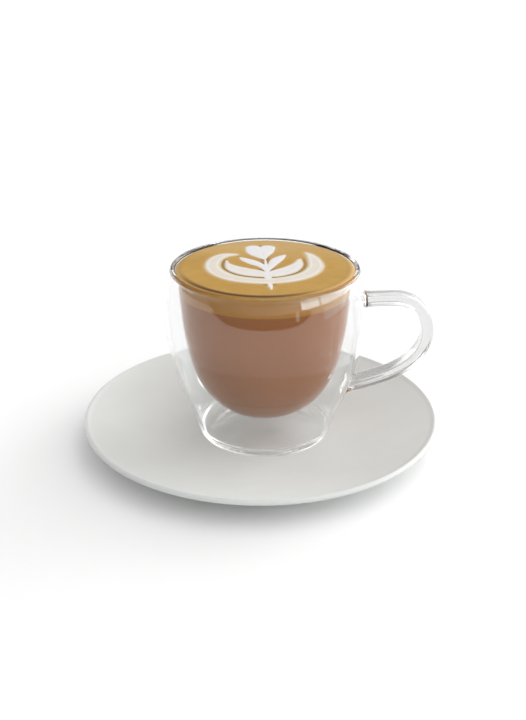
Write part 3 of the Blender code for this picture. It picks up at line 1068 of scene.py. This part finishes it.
@dataclass
class Saucer:
    """The coupe saucer: a flat well, a slope that steepens to a thin round edge, and a foot ring."""

    radius: float = 0.0723
    rim_height: float = 0.0125
    well_height: float = 0.0039
    well_radius: float = 0.0290
    rise_power: float = 1.55
    thickness: float = 0.0034
    edge_radius: float = 0.0011
    edge_arc: tuple[float, float] = (100.0, -70.0)
    edge_points: int = 14
    well_steps: int = 6
    slope_steps: int = 40
    recess_height: float = 0.0011
    foot_inner: float = 0.0325
    foot_outer: float = 0.0365
    foot_round: float = 0.0006
    foot_points: int = 4
    turn_steps: int = 240
    porcelain: Porcelain = field(default_factory=Porcelain)

    def top_height(self, radius: float) -> float:
        """The height of the upper face at a radius."""
        share = max(0.0, (radius - self.well_radius) / (self.radius - self.well_radius))
        return self.well_height + (self.rim_height - self.well_height) * share ** self.rise_power

    def profile(self) -> list[Vector]:
        """The saucer's section from the middle of its upper face round to the middle of its underside."""
        centre = Vector((self.radius - self.edge_radius, self.rim_height - self.edge_radius))
        slope = centre.x - self.well_radius
        radii = [self.well_radius + slope * step / self.slope_steps for step in range(self.slope_steps)]
        steps = self.well_steps
        well = [Vector((self.well_radius * step / steps, self.well_height)) for step in range(steps)]
        top = well + [Vector((radius, self.top_height(radius))) for radius in radii]
        edge = arc(centre, self.edge_radius, *self.edge_arc, self.edge_points)
        under = []
        for radius in reversed([radius for radius in radii if radius > self.foot_outer + 2 * MM]):
            taper = min((centre.x - radius) / (centre.x - self.foot_outer), 1.0)
            thickness = 2 * self.edge_radius + (self.thickness - 2 * self.edge_radius) * taper
            under.append(Vector((radius, self.top_height(radius) - thickness)))
        join_height = self.top_height(self.foot_outer) - self.thickness
        half_round = self.foot_round / 2
        foot = [Vector((self.foot_outer + self.foot_round, join_height))]
        for radius, start in ((self.foot_outer - half_round, 0), (self.foot_inner + half_round, -90)):
            foot += arc(Vector((radius, half_round)), half_round, start, start - 90, self.foot_points)
        foot += [
            Vector((self.foot_inner - 2 * self.foot_round, self.recess_height)),
            Vector((0.0, self.recess_height)),
        ]
        return top + edge + under + foot

    def build(self) -> None:
        """Turns the saucer and dresses it."""
        saucer = turn("saucer", self.profile(), 0.0, self.turn_steps)
        keep_as(saucer, "saucer", self.porcelain.material())


# The studio

@dataclass(frozen=True)
class Screen:
    """An upright curved screen round the cup, which shows only in what glass mirrors and bends."""

    name: str
    azimuths: tuple[float, float]
    heights: tuple[float, float]
    distance: float
    glow: tuple[float, float]
    colour: Colour = (1.0, 1.0, 1.0)
    lift: float = 0.0
    lift_power: float = 5.0
    steps: int = 24

    def build(self) -> None:
        """Bends the screen round the cup and lights it, brighter or darker from one end to the other."""
        start, end = (math.radians(azimuth) for azimuth in self.azimuths)
        low, high = self.heights
        screen = draw_chain(self.name, [Vector((self.distance, 0.0, low)), Vector((self.distance, 0.0, high))])
        bpy.ops.mesh.select_all(action="SELECT")
        bpy.ops.mesh.spin(steps=self.steps, angle=start - end, center=(0, 0, 0), axis=(0, 0, 1))
        bpy.ops.object.mode_set(mode="OBJECT")
        turned = places_of(screen)
        sweep = np.arctan2(turned[:, 1], turned[:, 0])
        share = np.abs(sweep) / abs(end - start)
        azimuth = start + (end - start) * share
        turned[:, 0] = self.distance * np.cos(azimuth)
        turned[:, 1] = self.distance * np.sin(azimuth)
        lowest = turned[:, 2] < (low + high) / 2
        turned[lowest, 2] += self.lift * np.abs(2 * share[lowest] - 1) ** self.lift_power
        move_to(screen, turned)
        store(screen, "share", share)
        bench = Bench(self.name)
        bench.put("Base Color", (0.0, 0.0, 0.0, 1.0))
        bench.put("Specular IOR Level", 0.0)
        bench.put("Emission Color", (*self.colour, 1.0))
        bench.join(bench.spread(bench.attribute("share"), *self.glow, 0.0, 1.0), "Emission Strength")
        screen.data.materials.append(bench.material)
        screen.visible_camera = False
        screen.visible_diffuse = False
        screen.visible_shadow = False


@dataclass(frozen=True)
class SkyPatch:
    """A soft bright patch of the sky: its way as azimuth and elevation, its reach in degrees and its strength."""

    way: tuple[float, float]
    reach: float
    strength: float


@dataclass
class Studio:
    """A white table under a soft sky, a dim room and a window in front for the glass to mirror, and the camera."""

    camera_place: tuple[float, float, float] = (0.00095, -0.3890, 0.2087)
    camera_pitch: float = 65.9
    lens: float = 52.5
    table_size: float = 20.0
    dome_radius: float = 9.0
    surroundings: float = 0.37
    max_bounces: int = 64
    glass_bounces: int = 48
    diffuse_bounces: int = 4
    sky: tuple[SkyPatch, ...] = (
        SkyPatch((5.0, 22.0), 90.0, 1.30),
        SkyPatch((130.0, 0.0), 32.0, 3.0),
        SkyPatch((36.0, 0.0), 34.0, 6.0),
        SkyPatch((-90.0, 60.0), 50.0, 0.65),
    )
    screens: tuple[Screen, ...] = (
        Screen("dark_floor", (-148.0, -39.0), (0.0, 0.058), 0.485, (0.0, 0.0), lift=0.026),
        Screen("dim_room", (-154.0, -39.0), (0.058, 0.135), 0.485, (0.0, 0.9)),
        Screen("left_pane", (-50.0, -28.0), (0.070, 0.16), 0.42, (6.5, 6.5), (0.80, 0.95, 1.0)),
        Screen("right_pane", (-26.0, 12.0), (0.070, 0.16), 0.42, (6.0, 4.5), (0.76, 0.93, 1.0)),
        Screen("right_low", (-24.0, 25.0), (0.0, 0.068), 0.42, (1.8, 2.6), (0.80, 0.96, 1.0)),
        Screen("slit", (-57.0, -53.0), (0.02, 0.09), 0.45, (1.2, 1.2)),
    )

    def build_camera(self) -> None:
        """Puts the camera at the photograph's viewpoint."""
        data = bpy.data.cameras.new("camera")
        data.lens = self.lens
        camera = bpy.data.objects.new("camera", data)
        camera.location = self.camera_place
        camera.rotation_euler = (math.radians(self.camera_pitch), 0.0, 0.0)
        bpy.context.scene.collection.objects.link(camera)
        bpy.context.scene.camera = camera

    def build_table(self) -> None:
        """Lays the white table top."""
        bpy.ops.object.select_all(action="DESELECT")
        bpy.ops.mesh.primitive_plane_add(size=self.table_size)
        table = bpy.context.active_object
        table.name = "table_top"
        table.data.materials.append(WhiteTable().material())

    def build_backdrop(self) -> None:
        """Puts a white dome round the table, which only the camera sees."""
        bpy.ops.object.select_all(action="DESELECT")
        bpy.ops.mesh.primitive_uv_sphere_add(segments=48, ring_count=24, radius=self.dome_radius)
        dome = bpy.context.active_object
        dome.name = "backdrop"
        bench = Bench("white_backdrop")
        bench.put("Base Color", (0.0, 0.0, 0.0, 1.0))
        bench.put("Specular IOR Level", 0.0)
        bench.put("Emission Color", (1.0, 1.0, 1.0, 1.0))
        bench.put("Emission Strength", 1.0)
        dome.data.materials.append(bench.material)
        dome.visible_diffuse = False
        dome.visible_glossy = False
        dome.visible_transmission = False
        dome.visible_shadow = False

    def build_world(self) -> None:
        """Surrounds the table with pale light and the soft bright patches of the sky."""
        world = bpy.data.worlds.new("soft_surroundings")
        bpy.context.scene.world = world
        world.use_nodes = True
        tree = world.node_tree
        place = tree.nodes.new("ShaderNodeTexCoord")
        total = None
        for patch in self.sky:
            facing = tree.nodes.new("ShaderNodeVectorMath")
            facing.operation = "DOT_PRODUCT"
            facing.inputs[1].default_value = direction(*patch.way)
            glow = tree.nodes.new("ShaderNodeMapRange")
            glow.interpolation_type = "SMOOTHSTEP"
            glow.inputs["From Min"].default_value = math.cos(math.radians(patch.reach))
            glow.inputs["To Max"].default_value = patch.strength
            added = tree.nodes.new("ShaderNodeMath")
            added.operation = "ADD"
            added.inputs[0].default_value = self.surroundings
            tree.links.new(place.outputs["Generated"], facing.inputs[0])
            tree.links.new(facing.outputs["Value"], glow.inputs["Value"])
            if total is not None:
                tree.links.new(total, added.inputs[0])
            tree.links.new(glow.outputs["Result"], added.inputs[1])
            total = added.outputs[0]
        tree.links.new(total, tree.nodes["Background"].inputs["Strength"])
        tree.nodes["Background"].inputs["Color"].default_value = (1.0, 1.0, 1.0, 1.0)

    def build(self) -> None:
        """Builds the camera, the table and the light."""
        self.build_camera()
        self.build_table()
        self.build_world()
        for screen in self.screens:
            screen.build()
        self.build_backdrop()
        scene = bpy.context.scene
        scene.view_settings.view_transform = "Standard"
        scene.cycles.max_bounces = self.max_bounces
        scene.cycles.transmission_bounces = self.glass_bounces
        scene.cycles.glossy_bounces = self.glass_bounces
        scene.cycles.diffuse_bounces = self.diffuse_bounces
        log.info("studio ready")


def main() -> None:
    """Builds the drink on its saucer, then the studio, and logs each piece's face count."""
    logging.basicConfig(level=logging.INFO)
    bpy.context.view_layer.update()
    saucer = Saucer()
    cup = GlassCup()
    pattern = MilkPattern()
    drink = Drink(cup=cup, pattern=pattern)
    saucer.build()
    cup.build()
    drink.build_coffee()
    drink.build_crema()
    pattern.build()
    Studio().build()


if __name__ == "__main__":
    main()
